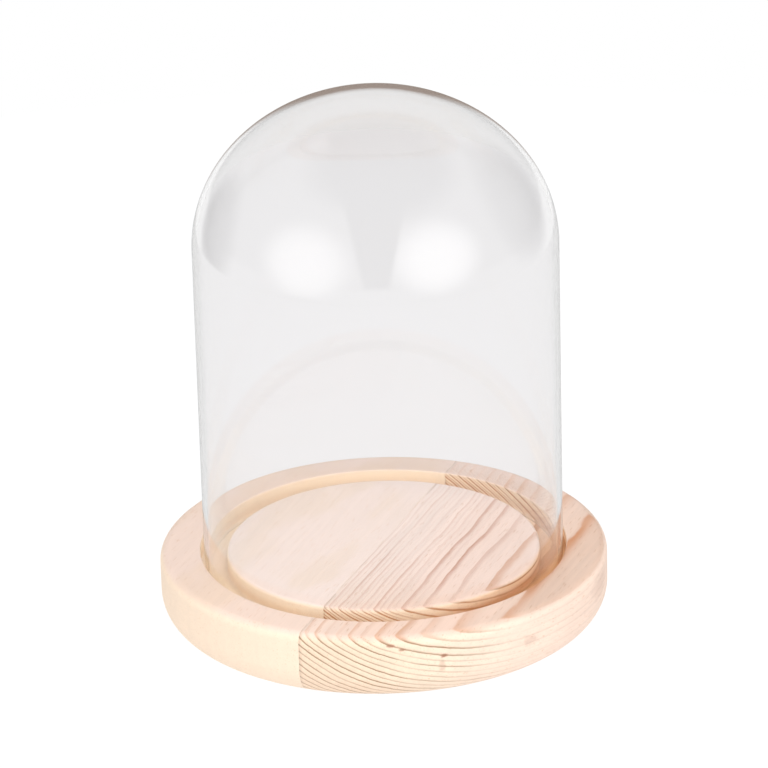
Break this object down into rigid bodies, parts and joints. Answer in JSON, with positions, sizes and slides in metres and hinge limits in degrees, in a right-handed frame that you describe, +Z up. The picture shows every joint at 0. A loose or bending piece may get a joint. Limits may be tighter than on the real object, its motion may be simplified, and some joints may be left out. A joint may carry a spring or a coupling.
{
  "type": "bell jar dome",
  "caption": "Clear glass bell jar dome that lifts off a round pine base with a ring groove, for covering a small display piece.",
  "frame": {"origin": "centre of the flat underside of the base, on the dome's axis", "axes": "+Z is up along the axis of the dome and the base; -Y is the front; the base's glue joint and grain run at 21.8 degrees from +Y towards +X"},
  "size_m": [0.115, 0.115, 0.14],
  "materials": {
    "pine_plain": "sanded, unvarnished, straight grained",
    "pine_figured": "sanded, unvarnished, with growth rings",
    "glass": "clear blown glass with a fire-polished rim"
  },
  "bodies": {
    "base": {"base_stave_left": "pine_plain", "base_stave_right": "pine_figured"},
    "dome": {"glass_dome": "glass"}
  },
  "joints": [
    {"name": "dome_lift", "type": "slide", "parent": "base", "child": "dome", "axis": [0, 0, 1], "range_m": [0, 0.13]}
  ]
}
